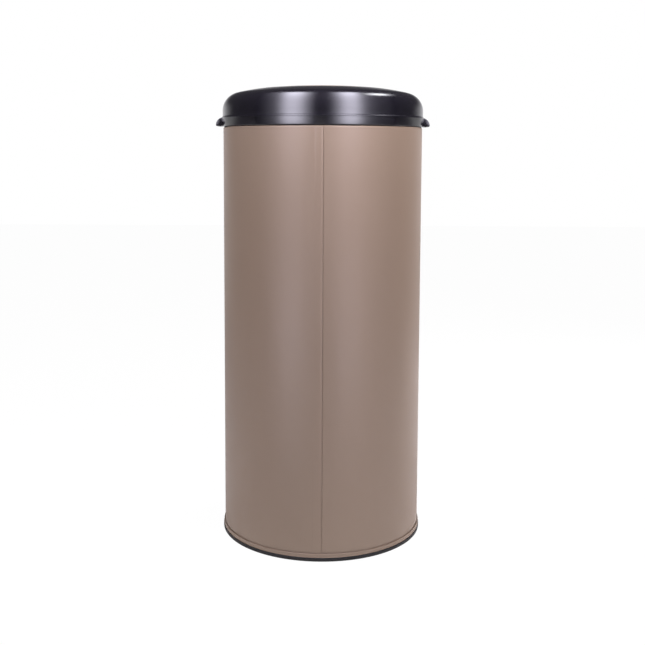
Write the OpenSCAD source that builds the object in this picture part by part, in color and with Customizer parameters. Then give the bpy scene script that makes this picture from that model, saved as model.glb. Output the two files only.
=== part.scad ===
// Round kitchen bin with a lift-off head and a sprung push-to-open flap.
// Millimetres. +Z is up, the origin is on the floor at the centre of the base.
// The lock seam and the flap hinge are at the back, towards -Y, and the latch is at the front.

/* [Body] */
// Outer diameter of the rolled steel body
body_d = 300; // [290:1:310]
// Height of the body, from the floor to the top of its rolled rim
body_h = 616.5; // [480:0.5:650]
// Thickness of the body's steel sheet
sheet_t = 0.6; // [0.4:0.1:0.8]
// Outer diameter of the curl rolled inwards round the top edge
curl_d = 4.6; // [4:0.2:5]
// Width of the lock seam folded down the back
seam_w = 10; // [6:0.5:14]
// Thickness of the seam's fold behind the sheet
seam_t = 1.2; // [0.8:0.1:1.8]
// Offset of the seam's open edge from the centre line
seam_shift = 1; // [-4:0.5:4]

/* [Foot] */
// Height of the plastic base ring under the steel
base_h = 5.2; // [4:0.2:8]
// How far the base ring stands out from the body
base_out = 2.4; // [2:0.1:3]
// Height of the double seam that joins the bottom to the body
foot_seam_h = 6.2; // [5:0.2:8]
// How far the double seam stands out from the body
foot_seam_out = 1.7; // [1.5:0.1:1.9]
// Height of the bottom panel's upper face above the floor
panel_z = 16; // [15:0.5:24]
// Number of ribs in the groove under the base ring
base_ribs = 24; // [12:2:36]

/* [Bag ring] */
// Depth of the bag ring's wall below its flange
bag_ring_h = 28; // [20:1:40]
// Thickness of the bag ring's wall and flange
bag_ring_t = 1.8; // [1.2:0.1:2]
// Room for the bag between the curl and the bag ring
bag_room = 2; // [1.5:0.1:2.5]

/* [Head] */
// Wall of the head's moulded collar
wall_t = 2.2; // [1.8:0.1:2.4]
// Height of the tapered band at the foot of the collar
band_h = 14.2; // [12:0.2:16]
// How far the band's upper edge stands out from the body
band_out = 3.3; // [2.8:0.1:3.8]
// How far the band's lower edge stands out from the body
band_foot_out = 0.4; // [0.2:0.1:0.8]
// How far the collar's upright wall stands out from the body
upright_out = 1.15; // [0.9:0.05:1.4]
// Height of the step from the band in to the upright wall
step_h = 1.6; // [1.2:0.1:2]
// Height of the upright wall above the step
upright_h = 8; // [6:0.5:12]
// Radius of the collar's rounded shoulder
shoulder_r = 27.2; // [25:0.2:29]
// Slope of the crown where the shoulder ends, in degrees
crown_slope = 12.9; // [11:0.1:14]
// Radius of the crown's curve between the shoulder and the opening
crown_r = 368; // [300:1:450]
// Depth of the spigot that drops inside the bag ring
spigot_h = 16; // [10:1:24]
// Number of gussets between the spigot and the skirt
gussets = 16; // [8:2:24]

/* [Grips] */
// Half the angle that each side grip spans, in degrees
grip_half = 8; // [6:0.5:10]
// Radius of the grip's rounded outside
grip_r = 11.8; // [10:0.2:13]
// Depth of the finger recess under a grip
grip_recess = 3.6; // [2:0.2:3.8]

/* [Opening] */
// Distance from the body's side to the opening's upper edge, round the flap
rim_w = 53.5; // [52:0.5:55]
// Width of the ledge, from the opening's upper edge to the throat that waste drops through
ledge_w = 12.5; // [12:0.5:13.5]
// Depth of the ledge below the opening's upper edge
ledge_drop = 6; // [5.6:0.1:6.6]
// Thickness of the ledge
ledge_t = 2; // [1.6:0.1:2.2]
// Height of the throat ring below the ledge
throat_ring_h = 37.2; // [36:0.2:40]

/* [Flap] */
// Gap round the flap's disc
flap_gap = 1.2; // [1:0.1:1.6]
// Radius of the disc's shallow dome
disc_dome_r = 950; // [800:10:1400]
// Depth of the disc's turned-down edge
disc_hem = 2; // [1.6:0.1:2.2]
// Thickness of the plastic liner
liner_t = 1.8; // [1.4:0.1:2]
// Number of stiffening ribs under the liner
liner_ribs = 8; // [6:2:12]

/* [Hinge] */
// Diameter of the hinge pin
pin_d = 4; // [3:0.5:5]
// Distance of the hinge axis behind the disc's edge
hinge_back = 16; // [15:0.5:17]
// Distance of the hinge axis below the disc's turned-down edge
hinge_drop = 13; // [12.5:0.5:14]
// Distance of each hinge arm's middle from the centre
arm_x = 22; // [21:0.5:23]
// Width of a hinge arm
arm_w = 7; // [6:0.5:8]
// Thickness of a hinge arm in side view
arm_t = 4; // [3:0.25:4.2]
// Wire diameter of the opening springs
spring_wire = 1.3; // [1:0.1:1.4]
// Mean diameter of the opening springs' coils
spring_d = 8; // [7.5:0.1:9]
// Turns of each opening spring
spring_turns = 5; // [3:1:6]

/* [Damper] */
// Module of the damper's gear teeth
gear_module = 0.8; // [0.75:0.01:0.85]
// Teeth of the damper's pinion
pinion_teeth = 12; // [12:1:12]
// Teeth that a full turn of the sector gear would have
sector_teeth = 36; // [36:1:36]
// Outer diameter of the rotary damper
damper_d = 15; // [13:0.5:16]

/* [Latch] */
// Outer diameter of the latch plunger
plunger_d = 8.4; // [8:0.1:8.6]
// Distance that the plunger stands out when it is released
plunger_travel = 4.5; // [3:0.1:4.6]
// Diameter of the striker's bulb
bulb_d = 5.2; // [4.8:0.1:5.4]
// Width of the latch housing
latch_w = 15; // [14:0.5:18]

/* [Hidden] */
$fn = 96;

taupe = [0.55, 0.48, 0.44];
black = [0.13, 0.13, 0.15];
soft_black = [0.17, 0.17, 0.18];
steel = [0.72, 0.73, 0.75];
nylon = [0.86, 0.85, 0.8];

// Clearances
seat_gap = 0.3;
fold_gap = 0.05;
run_gap = 0.05;
slide_gap = 0.1;
side_gap = 0.4;
eps = 0.01;

body_r = body_d / 2;
curl_r = curl_d / 2;

// Heights of the head, from the rim up
skirt_z = body_h + seat_gap;
band_top_z = skirt_z + band_h;
upright_z = band_top_z + step_h;
shoulder_z = upright_z + upright_h;
upright_r = body_r + upright_out;
band_r = body_r + band_out;
band_foot_r = body_r + band_foot_out;
band_round = 1.2;

// Crown, as an arc that leaves the shoulder without a break
shoulder_c = [upright_r - shoulder_r, shoulder_z];
crown_start = shoulder_c + shoulder_r * [sin(crown_slope), cos(crown_slope)];
crown_c = crown_start - crown_r * [sin(crown_slope), cos(crown_slope)];
function crown_z(r) = crown_c[1] + sqrt(pow(crown_r, 2) - pow(r - crown_c[0], 2));

// Opening
lip_r = body_r - rim_w;
lip_round = 1.6;
lip_z = crown_z(lip_r + lip_round);
throat_r = lip_r - ledge_w;
ledge_z = lip_z - ledge_drop;
ledge_under_z = ledge_z - ledge_t;
throat_lip_h = 2;
rebate_r = lip_r + wall_t / 2;
seat_edge_r = rebate_r - run_gap;

// Bag ring
bag_flange_z = body_h + seat_gap;
bag_wall_r = body_r - curl_d - bag_room;
bag_flange_r = body_r - curl_r + 0.9;
skirt_in_r = bag_flange_r + side_gap;
spigot_r = bag_wall_r - bag_ring_t - side_gap;
web_z = bag_flange_z + bag_ring_t + seat_gap;
web_t = 2;
spigot_t = 2;
rim_ring_r = skirt_in_r - slide_gap;
rim_seat_r = rim_ring_r - 1;

// Flap
disc_r = lip_r - flap_gap;
disc_t = 0.6;
disc_edge_z = lip_z + 0.2;
disc_under_z = disc_edge_z - disc_hem;
disc_top_z = disc_edge_z + disc_dome_r - sqrt(pow(disc_dome_r, 2) - pow(disc_r, 2));
function dome_z(r) = disc_top_z - disc_dome_r + sqrt(pow(disc_dome_r, 2) - pow(r, 2));
liner_edge_r = disc_r - disc_t - seat_gap;
liner_flange_z = disc_under_z - 1.3;
liner_skirt_r = throat_r - 2;
liner_skirt_z = ledge_z + 1.5;

// Hinge axis, and a frame in which u runs forwards and v upwards from it
hinge_y = -(disc_r + hinge_back);
hinge_z = disc_under_z - hinge_drop;
pin_r = pin_d / 2;
hub_r = pin_r + 3.2;
arm_in_x = arm_x - arm_w / 2;
arm_out_x = arm_x + arm_w / 2;
ear_t = 3;
sector_w = 4;
ear_out_right_x = arm_out_x + sector_w + side_gap;
ear_out_left_x = arm_out_x + side_gap;
ear_in_x = arm_in_x - side_gap;
plate_u = -18.5;
plate_t = 2;
plate_top_v = 1;
plate_foot_v = -26;
lip_by_arm = [hinge_back + disc_r - sqrt(pow(lip_r, 2) - pow(arm_out_x, 2)), lip_z - lip_round - hinge_z];
arm_reach = norm(lip_by_arm) + arm_t / 2 + 1.4;
arm_end_u = lip_by_arm[0] + arm_t / 2 + 3.6;
arm_end_v = liner_flange_z - hinge_z;
arm_path = concat(
    [polar(3.8, -65), polar(0.54 * arm_reach, -69), polar(0.79 * arm_reach, -70.6),
     polar(0.93 * arm_reach, -68.5)],
    arc([0, 0], arm_reach, -62, 8, 8),
    [[arm_end_u, arm_end_v - 3.7], [arm_end_u, arm_end_v]]
);
cross_bar = polar(arm_reach, -44);
cross_bar_r = 2.4;
pad_t = 2;
arm_pad_x = arm_in_x - 9;
arm_screw_x = arm_in_x - 4.5;
arm_screw_u = arm_end_u + 1.2;
pad_overhang = 2.4;
clip_t = 0.8;
clip_r = pin_r + 2.2;

// Damper gears
pinion_pitch_r = gear_module * pinion_teeth / 2;
sector_pitch_r = gear_module * sector_teeth / 2;
gear_centre = pinion_pitch_r + sector_pitch_r + 0.1;
pinion_w = 3.4;
pinion_shaft_r = 1.5;
tooth_tip = 0.75;
tooth_root = 1.0;
backlash = 0.12;
pressure_angle = 20;
sector_first = -8;
sector_last = 1;
damper_l = 6.6;
damper_screw_u = 10;
plate_half = ear_out_right_x + ear_t + damper_l + 2.5;

// Latch
latch_y = (lip_r + throat_r) / 2;
plunger_r = plunger_d / 2;
plunger_bore_r = bulb_d / 2 + 0.4;
plunger_top_z = ledge_under_z - 2.4;
plunger_l = 15.8;
plunger_flange_r = plunger_r + 1.5;
plunger_flange_t = 2;
plunger_foot_z = plunger_top_z - plunger_l;
latch_spring_h = 9;
latch_foot_z = plunger_foot_z - latch_spring_h;
latch_floor_t = 2;
latch_wall_t = 1.8;
latch_boss_x = latch_w / 2 + 6;
latch_ear_z = ledge_under_z - 7;
latch_ear_t = 2.6;
lip_t = 1.6;
bulb_top_z = plunger_top_z - lip_t - 0.6;
bulb_h = 4.4;
bulb_r = bulb_d / 2;
neck_r = 1.4;

// Fasteners
screw_r = 1.3;
screw_head_r = 2.6;
screw_head_t = 1.8;
screw_bite = 5;
boss_r = 3.4;
bracket_tab_x = 34;
bracket_tab_half = 4.4;
bracket_tab_back = 3.7;
bracket_tab_reach = 6.2;
bracket_boss_y = hinge_y + plate_u - plate_t - bracket_tab_reach;
bracket_tab_z = hinge_z - 9;
bracket_tab_t = 2.6;
throat_screw_angles = [20, 160, 200 + 12, 340 - 12];
throat_flange_t = 2;
throat_flange_r = lip_r - 2.5;
throat_screw_r = lip_r + wall_t + 4;
throat_lobe_r = 4.6;
damper_screw_r = 1.1;

// Shared shapes

// Point at radius r and angle a
function polar(r, a) = r * [cos(a), sin(a)];

// Points along an arc, from angle a0 to angle a1
function arc(c, r, a0, a1, n = 8) = [for (i = [0:n]) c + polar(r, a0 + (a1 - a0) * i / n)];

// Outline of a strip of width w along a bent path
function unit(v) = v / norm(v);
function left_of(v) = [-v[1], v[0]];
function corner_shift(path, i) =
    let (n = len(path) - 1)
    let (before = unit(path[max(i, 1)] - path[max(i, 1) - 1]))
    let (after = unit(path[min(i, n - 1) + 1] - path[min(i, n - 1)]))
    let (middle = unit(left_of(before) + left_of(after)))
    middle / (middle * left_of(before));
function strip(path, w) = concat(
    [for (i = [0:len(path) - 1]) path[i] + corner_shift(path, i) * w / 2],
    [for (i = [len(path) - 1:-1:0]) path[i] - corner_shift(path, i) * w / 2]
);

// Tube of radius r along points, whose rings are squared to the direction called across
function along(path, i) = unit(path[min(i + 1, len(path) - 1)] - path[max(i - 1, 0)]);
module tube(path, r, across, sides = 6) {
    n = len(path);
    points = [
        for (i = [0:n - 1])
            let (t = along(path, i))
            let (a = unit(cross(t, across)))
            let (b = cross(t, a))
            for (k = [0:sides - 1]) path[i] + r * (a * cos(360 * k / sides) + b * sin(360 * k / sides))
    ];
    walls = [
        for (i = [0:n - 2])
            for (k = [0:sides - 1])
                let (p = i * sides + k)
                let (q = i * sides + (k + 1) % sides)
                each [[p, q, q + sides], [p, q + sides, p + sides]]
    ];
    first_cap = [for (k = [1:sides - 2]) [0, k + 1, k]];
    last = (n - 1) * sides;
    last_cap = [for (k = [1:sides - 2]) [last, last + k, last + k + 1]];
    polyhedron(points = points, faces = concat(walls, first_cap, last_cap), convexity = 10);
}

// Turns a side view drawn in u and v into a plate from x0 to x1 at the hinge
module side_plate(x0, x1) {
    translate([x0, hinge_y, hinge_z])
        rotate([90, 0, 90])
            linear_extrude(x1 - x0)
                children();
}

// Cylinder along X at u, v in the hinge's frame
module cross_rod(x0, x1, u, v, r) {
    translate([x0, hinge_y + u, hinge_z + v])
        rotate([0, 90, 0])
            cylinder(r = r, h = x1 - x0);
}

// Pan-head screw that points up from its head
module screw(shank_r, shank_l, head_r, head_t) {
    cylinder(r = shank_r, h = shank_l);
    translate([0, 0, -head_t])
        cylinder(r = head_r, h = head_t);
}

module at_angle(r, angle) {
    rotate([0, 0, angle])
        translate([r, 0, 0])
            children();
}

// Body

// Rolled sheet with a curled rim, a flange at the foot and the fold of its lock seam
module body_shell() {
    curl_c = [body_r - curl_r, body_h - curl_r];
    foot_z = base_h + sheet_t + fold_gap;
    flange_r = body_r + foot_seam_out - sheet_t - fold_gap;
    seam_deg = seam_w / body_r * 180 / PI;
    seam_edge = -90 + asin(seam_shift / body_r);
    groove_deg = 0.2;
    color(taupe) {
        difference() {
            rotate_extrude($fn = 180)
                polygon(concat(
                    [[body_r - sheet_t, foot_z], [flange_r, foot_z], [flange_r, foot_z + sheet_t],
                     [body_r, foot_z + sheet_t]],
                    arc(curl_c, curl_r, 0, 290, 20),
                    arc(curl_c, curl_r - sheet_t, 290, 0, 20)
                ));
            rotate([0, 0, seam_edge])
                rotate_extrude(angle = groove_deg)
                    translate([body_r - sheet_t / 2, foot_seam_h + base_h])
                        square([sheet_t, body_h - curl_d - foot_seam_h - base_h]);
        }
        rotate([0, 0, seam_edge - seam_deg])
            rotate_extrude(angle = seam_deg)
                translate([body_r - sheet_t - seam_t, panel_z + 1])
                    square([seam_t + sheet_t / 3, body_h - curl_d - panel_z - 3]);
    }
}

// Recessed bottom, whose edge is folded round the body's flange into a double seam
module bottom_plate() {
    inner_r = body_r - sheet_t - fold_gap;
    corner = 3;
    outer_r = body_r + foot_seam_out;
    hem_z = base_h + foot_seam_h;
    round_r = 1.1;
    color(taupe)
        rotate_extrude($fn = 180)
            polygon(concat(
                [[0, panel_z]],
                arc([inner_r - corner, panel_z - corner], corner, 90, 0, 6),
                [[inner_r, base_h + sheet_t], [outer_r - sheet_t, base_h + sheet_t],
                 [outer_r - sheet_t, hem_z - sheet_t], [body_r + fold_gap, hem_z - sheet_t],
                 [body_r + fold_gap, hem_z]],
                arc([outer_r - round_r, hem_z - round_r], round_r, 90, 0, 5),
                arc([outer_r - round_r, base_h + round_r], round_r, 0, -90, 5),
                [[inner_r - sheet_t, base_h]],
                arc([inner_r - corner, panel_z - corner], corner - sheet_t, 0, 90, 6),
                [[0, panel_z - sheet_t]]
            ));
}

// Plastic ring clipped into the recess, with a ribbed groove on its underside
module base_ring() {
    outer_r = body_r + base_out;
    upstand_r = body_r - 2 * sheet_t - 4 * fold_gap;
    inner_r = upstand_r - 1.8;
    groove_in = inner_r + 1.8;
    groove_out = outer_r - 1.8;
    groove_h = base_h - 2;
    edge = 0.7;
    color(black) {
        difference() {
            rotate_extrude($fn = 180)
                polygon(concat(
                    [[inner_r, 0]],
                    arc([outer_r - edge, edge], edge, -90, 0, 4),
                    arc([outer_r - edge, base_h - edge], edge, 0, 90, 4),
                    [[upstand_r, base_h], [upstand_r, panel_z - 4.2], [inner_r, panel_z - 4.2]]
                ));
            translate([0, 0, -eps])
                difference() {
                    cylinder(r = groove_out, h = groove_h + eps, $fn = 180);
                    translate([0, 0, -1])
                        cylinder(r = groove_in, h = groove_h + 2, $fn = 180);
                    for (i = [0:base_ribs - 1])
                        rotate([0, 0, 360 * i / base_ribs])
                            translate([groove_in - 1, -0.8, -1])
                                cube([groove_out - groove_in + 2, 1.6, groove_h + 2]);
                }
        }
    }
}

// Bag ring

// Ring that hangs on the curl, so that a bag's edge is held between them
module bag_ring() {
    foot_z = bag_flange_z + bag_ring_t - bag_ring_h;
    bead = 0.7;
    color(soft_black)
        rotate_extrude($fn = 180)
            polygon(concat(
                [[bag_wall_r - bag_ring_t, foot_z]],
                arc([bag_wall_r - bead + bead, foot_z + bead], bead, -90, 90, 6),
                [[bag_wall_r, bag_flange_z - 1]],
                arc([bag_wall_r + 1, bag_flange_z - 1], 1, 180, 90, 3),
                [[bag_flange_r, bag_flange_z], [bag_flange_r, bag_flange_z + bag_ring_t]],
                arc([bag_wall_r - bag_ring_t + 1, bag_flange_z + bag_ring_t - 1], 1, 90, 180, 4)
            ));
}

// Head

// Outer surface of the collar, from the foot of its band to the opening's edge
function collar_outside() = concat(
    [[band_foot_r, skirt_z]],
    arc([band_r - band_round, band_top_z - band_round], band_round, -10, 65, 5),
    [[upright_r, upright_z]],
    arc(shoulder_c, shoulder_r, 0, 90 - crown_slope, 18),
    arc(crown_c, crown_r, 90 - crown_slope, acos((lip_r + lip_round - crown_c[0]) / crown_r), 8),
    arc([lip_r + lip_round, lip_z - lip_round], lip_round, 90, 180, 6)
);

// Inner surface of the collar, from the rebate under the lip back to the foot of the skirt
function collar_inside() = concat(
    [[lip_r, ledge_z], [rebate_r, ledge_z], [rebate_r, ledge_under_z], [lip_r + wall_t, ledge_under_z]],
    arc(crown_c, crown_r - wall_t, acos((lip_r + wall_t - crown_c[0]) / (crown_r - wall_t)),
        90 - crown_slope, 8),
    arc(shoulder_c, shoulder_r - wall_t, 90 - crown_slope, 0, 18),
    [[upright_r - wall_t, upright_z + 0.4], [band_r - wall_t - 0.2, band_top_z - 0.8],
     [rim_seat_r, web_z + web_t + 1.5], [rim_seat_r, web_z + web_t], [skirt_in_r, web_z + web_t],
     [skirt_in_r, skirt_z]]
);

module collar_shell() {
    rotate_extrude($fn = 180)
        polygon(concat(collar_outside(), collar_inside()));
}

// Ring welded up against the step in the collar. Its spigot drops inside the bag ring.
module rim_ring() {
    color(soft_black) {
        rotate_extrude($fn = 180)
            polygon([
                [spigot_r - spigot_t, web_z - spigot_h], [spigot_r - 0.6, web_z - spigot_h],
                [spigot_r, web_z - spigot_h + 1.5], [spigot_r, web_z],
                [rim_ring_r, web_z], [rim_ring_r, web_z + web_t],
                [spigot_r - spigot_t, web_z + web_t]
            ]);
        for (i = [0:gussets - 1])
            rotate([0, 0, 360 * (i + 0.5) / gussets])
                translate([0, 0.8, 0])
                    rotate([90, 0, 0])
                        linear_extrude(1.6)
                            polygon([
                                [spigot_r - spigot_t + 1, web_z + web_t - 0.5],
                                [rim_seat_r - side_gap, web_z + web_t - 0.5],
                                [rim_seat_r - side_gap, band_top_z - 2],
                                [rim_seat_r - side_gap - 2, band_top_z - 2]
                            ]);
    }
}

// Flared grip on each side, hollowed for the fingertips
module side_grip() {
    c = [band_foot_r - 0.9, skirt_z + 2.4];
    foot = skirt_z + 1.2;
    scoop_half = grip_half - 1.5;
    difference() {
        rotate([0, 0, -grip_half])
            rotate_extrude(angle = 2 * grip_half, $fn = 180)
                polygon(concat(
                    [[band_foot_r - 0.8, foot], [c[0] + grip_r - 0.8, foot]],
                    arc(c, grip_r, 0, 72, 10),
                    [[band_foot_r - 0.8, band_top_z - 1]]
                ));
        rotate([0, 0, -scoop_half])
            rotate_extrude(angle = 2 * scoop_half, $fn = 180)
                polygon([
                    [band_foot_r + 3, foot - 1], [c[0] + grip_r - 2.2, foot - 1],
                    [c[0] + grip_r - 3.4, foot + grip_recess], [band_foot_r + 3, foot + grip_recess]
                ]);
    }
}

// Space under the middle of the dome's skin
module under_dome() {
    rotate_extrude($fn = 180)
        polygon(concat(
            [[0, upright_z], [upright_r - wall_t / 2, upright_z]],
            arc(shoulder_c, shoulder_r - wall_t / 2, 0, 90 - crown_slope, 18),
            arc(crown_c, crown_r - wall_t / 2, 90 - crown_slope, 90, 8),
            [[0, crown_c[1] + crown_r - wall_t / 2]]
        ));
}

// Boss that hangs from the dome and runs up into its skin
module crown_boss(x, y, foot_z) {
    intersection() {
        translate([x, y, foot_z])
            cylinder(r = boss_r, h = lip_z - foot_z);
        under_dome();
    }
}

module pilot(x, y, foot_z) {
    translate([x, y, foot_z - 1])
        cylinder(r = screw_r + run_gap, h = screw_bite + 1.5);
}

module collar() {
    color(black)
        difference() {
            union() {
                collar_shell();
                for (side = [0, 180])
                    rotate([0, 0, side])
                        side_grip();
                for (x = [-bracket_tab_x, 0, bracket_tab_x])
                    crown_boss(x, bracket_boss_y, bracket_tab_z);
                for (angle = throat_screw_angles)
                    crown_boss(throat_screw_r * cos(angle), throat_screw_r * sin(angle), ledge_under_z);
            }
            for (x = [-bracket_tab_x, 0, bracket_tab_x])
                pilot(x, bracket_boss_y, bracket_tab_z);
            for (angle = throat_screw_angles)
                pilot(throat_screw_r * cos(angle), throat_screw_r * sin(angle), ledge_under_z);
        }
}

// Ring with the ledge that the flap shuts on. It lies in the rebate under the collar's lip, held
// up by the flange of the throat ring, and the latch hangs from its bosses
module seat_ring() {
    slot_x = arm_out_x + 1.2;
    slot_u = lip_by_arm[0] + 1;
    color(soft_black)
        difference() {
            union() {
                rotate_extrude($fn = 180)
                    polygon(concat(
                        [[seat_edge_r, ledge_under_z], [seat_edge_r, ledge_z]],
                        arc([throat_r + 1, ledge_z - 1], 1, 90, 180, 4),
                        [[throat_r, ledge_under_z - throat_lip_h],
                         [throat_r + ledge_t, ledge_under_z - throat_lip_h],
                         [throat_r + ledge_t, ledge_under_z]]
                    ));
                for (x = [-latch_boss_x, latch_boss_x])
                    translate([x, latch_y, latch_ear_z])
                        cylinder(r = boss_r, h = ledge_under_z + ledge_t / 2 - latch_ear_z);
            }
            for (x = [-latch_boss_x, latch_boss_x])
                pilot(x, latch_y, latch_ear_z);
            translate([-slot_x, hinge_y + slot_u, ledge_under_z - throat_lip_h - 1])
                cube([2 * slot_x, lip_r, ledge_t + throat_lip_h + 1.5]);
            translate([0, latch_y, ledge_under_z - 1])
                cylinder(r = plunger_r + seat_gap, h = ledge_t + 2);
            translate([-latch_w / 2 - side_gap, throat_r - 6, ledge_under_z - throat_lip_h - 1])
                cube([latch_w + 2 * side_gap, ledge_t + 6.5, throat_lip_h + 1]);
        }
}

// Funnel under the ledge, open at the back for the hinge and at the front for the latch
module throat_ring() {
    wall_r = throat_r + ledge_t + 0.4;
    flare = 1.6;
    t = 1.8;
    foot_z = ledge_under_z - throat_ring_h;
    band = 5;
    color(soft_black)
        difference() {
            union() {
                rotate_extrude($fn = 180)
                    polygon([
                        [wall_r, ledge_under_z], [wall_r + flare, foot_z], [wall_r + flare + t, foot_z],
                        [wall_r + t + 0.4, ledge_under_z - throat_flange_t],
                        [throat_flange_r, ledge_under_z - throat_flange_t],
                        [throat_flange_r, ledge_under_z]
                    ]);
                for (angle = throat_screw_angles)
                    at_angle(throat_screw_r, angle)
                        translate([0, 0, ledge_under_z - throat_flange_t])
                            linear_extrude(throat_flange_t) {
                                circle(r = throat_lobe_r);
                                translate([throat_flange_r - throat_screw_r - 1, -throat_lobe_r])
                                    square([throat_screw_r - throat_flange_r + 1, 2 * throat_lobe_r]);
                            }
            }
            translate([-plate_half, -lip_r - 10, foot_z + band])
                cube([2 * plate_half, lip_r, throat_ring_h]);
            translate([-latch_boss_x - boss_r - 1.6, throat_r / 2, foot_z + band])
                cube([2 * (latch_boss_x + boss_r + 1.6), lip_r, throat_ring_h]);
            for (angle = throat_screw_angles)
                at_angle(throat_screw_r, angle)
                    translate([0, 0, ledge_under_z - throat_flange_t - 1])
                        cylinder(r = screw_r + run_gap, h = throat_flange_t + 2);
        }
}

// Hinge

// Side view of an ear that carries the pin
module ear_outline(low_v) {
    circle(r = hub_r);
    polygon([[plate_u - eps, low_v], [plate_u - eps, plate_top_v], [-1.5, hub_r - 0.2], [1.5, -hub_r + 0.2]]);
}

// Side view of the right-hand outer ear, which also carries the damper
module damper_ear_outline() {
    ear_outline(-9);
    polygon([
        [plate_u - eps, plate_foot_v], [plate_u - eps, plate_top_v], [-1, hub_r - 0.2],
        [hub_r - 0.2, -1], [damper_screw_u + 3, -gear_centre + 5], [damper_screw_u + 3, plate_foot_v]
    ]);
}

module hinge_bracket() {
    ears = [[-ear_out_left_x - ear_t, -ear_out_left_x], [-ear_in_x, -ear_in_x + ear_t],
            [ear_in_x - ear_t, ear_in_x]];
    color(soft_black)
        difference() {
            union() {
                translate([-plate_half, hinge_y + plate_u - plate_t, hinge_z + plate_foot_v])
                    cube([2 * plate_half, plate_t, plate_top_v - plate_foot_v]);
                for (e = ears)
                    side_plate(e[0], e[1])
                        ear_outline(-9);
                side_plate(ear_out_right_x, ear_out_right_x + ear_t)
                    damper_ear_outline();
                for (x = [-bracket_tab_x, 0, bracket_tab_x])
                    translate([x - bracket_tab_half, bracket_boss_y - bracket_tab_back, bracket_tab_z - bracket_tab_t])
                        cube([2 * bracket_tab_half, bracket_tab_back + bracket_tab_reach + eps, bracket_tab_t]);
            }
            cross_rod(-plate_half - 5, plate_half + 5, 0, 0, pin_r + run_gap);
            cross_rod(ear_out_right_x - 1, ear_out_right_x + ear_t + 1, 0, -gear_centre, pinion_shaft_r + run_gap);
            for (u = [-damper_screw_u, damper_screw_u])
                cross_rod(ear_out_right_x - 1, ear_out_right_x + ear_t + 1, u, -gear_centre, damper_screw_r + run_gap);
            for (x = [-bracket_tab_x, 0, bracket_tab_x])
                translate([x, bracket_boss_y, bracket_tab_z - bracket_tab_t - 1])
                    cylinder(r = screw_r + run_gap, h = bracket_tab_t + 2);
        }
}

module hinge_pin() {
    color(steel)
        cross_rod(-ear_out_left_x - ear_t - 2, ear_out_right_x + ear_t + 2, 0, 0, pin_r);
}

module pin_clips() {
    color(steel)
        for (x = [-ear_out_left_x - ear_t - clip_t, ear_out_right_x + ear_t])
            difference() {
                cross_rod(x, x + clip_t, 0, 0, clip_r);
                cross_rod(x - 1, x + clip_t + 1, 0, 0, pin_r + 0.02);
                translate([x - 1, hinge_y - 1.2, hinge_z - clip_r - 1])
                    cube([clip_t + 2, 2.4, clip_r]);
            }
}

// Torsion spring round the pin, one leg on the bracket and one under the cross bar
function opening_spring_path(side) =
    let (r = spring_d / 2)
    let (x0 = 2.5)
    let (pitch = spring_wire + 0.75)
    let (start = 90)
    let (turn = 360 * spring_turns + 45)
    let (steps = 8 * spring_turns + 1)
    let (x1 = x0 + pitch * turn / 360)
    let (stop_u = plate_u + spring_wire / 2 + seat_gap)
    let (bar_angle = atan2(cross_bar[1], cross_bar[0]))
    let (reach = norm(cross_bar) + 2)
    let (lag = asin((cross_bar_r + spring_wire / 2 + seat_gap) / norm(cross_bar)))
    concat(
        [[x0, stop_u, r], [x0, stop_u / 2, r]],
        [for (i = [0:steps])
            let (a = start - turn * i / steps)
            [x0 + pitch * turn / 360 * i / steps, r * cos(a), r * sin(a)]],
        [[x1, reach * cos(bar_angle - lag), reach * sin(bar_angle - lag)]]
    );

// Least gap between the wire's surface and itself, from points at least a turn apart
function self_gap(path, wire_r, apart) =
    min([for (i = [0:len(path) - 1]) for (j = [i + apart:len(path) - 1]) norm(path[i] - path[j])]) - 2 * wire_r;

module opening_springs() {
    echo(opening_spring_gap = self_gap(opening_spring_path(0), spring_wire / 2, 6));
    color(steel)
        for (side = [0, 1])
            translate([0, hinge_y, hinge_z])
                mirror([side, 0, 0])
                    tube(opening_spring_path(side), spring_wire / 2, [1, 0, 0]);
}

// Gear teeth

function involute(a) = tan(a) - a * PI / 180;
// Half the angle that a tooth spans at radius r, in degrees
function tooth_half(r, pitch_r, teeth) =
    let (base_r = pitch_r * cos(pressure_angle))
    let (at_pitch = (PI * gear_module / 2 - backlash) / (2 * pitch_r) * 180 / PI)
    let (a = r > base_r ? acos(base_r / r) : 0)
    at_pitch + (involute(pressure_angle) - involute(a)) * 180 / PI;
function flank(pitch_r, teeth, centre, side) =
    let (root_r = pitch_r - tooth_root * gear_module)
    let (tip_r = pitch_r + tooth_tip * gear_module)
    [for (i = [0:5])
        let (r = root_r + (tip_r - root_r) * i / 5)
        let (a = centre + side * tooth_half(r, pitch_r, teeth))
        r * [cos(a), sin(a)]];
function backwards(list) = [for (i = [len(list) - 1:-1:0]) list[i]];
function tooth(pitch_r, teeth, centre) =
    concat(flank(pitch_r, teeth, centre, -1), backwards(flank(pitch_r, teeth, centre, 1)));

// Toothed sector on the right-hand arm's hub, in mesh with the pinion below the pin
module sector_gear() {
    root_r = sector_pitch_r - tooth_root * gear_module;
    step = 360 / sector_teeth;
    first = -90 + (sector_first - 1) * step;
    last = -90 + (sector_last) * step;
    color(nylon)
        difference() {
            side_plate(arm_out_x, arm_out_x + sector_w) {
                circle(r = hub_r);
                polygon(concat(
                    [[0, 0]],
                    [root_r * [cos(first - step / 2), sin(first - step / 2)]],
                    [for (i = [sector_first - 1:sector_last])
                        each tooth(sector_pitch_r, sector_teeth, -90 + i * step)],
                    [root_r * [cos(last + step / 2), sin(last + step / 2)]]
                ));
            }
            cross_rod(arm_out_x - 1, arm_out_x + sector_w + 1, 0, 0, pin_r + run_gap);
        }
}

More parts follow.
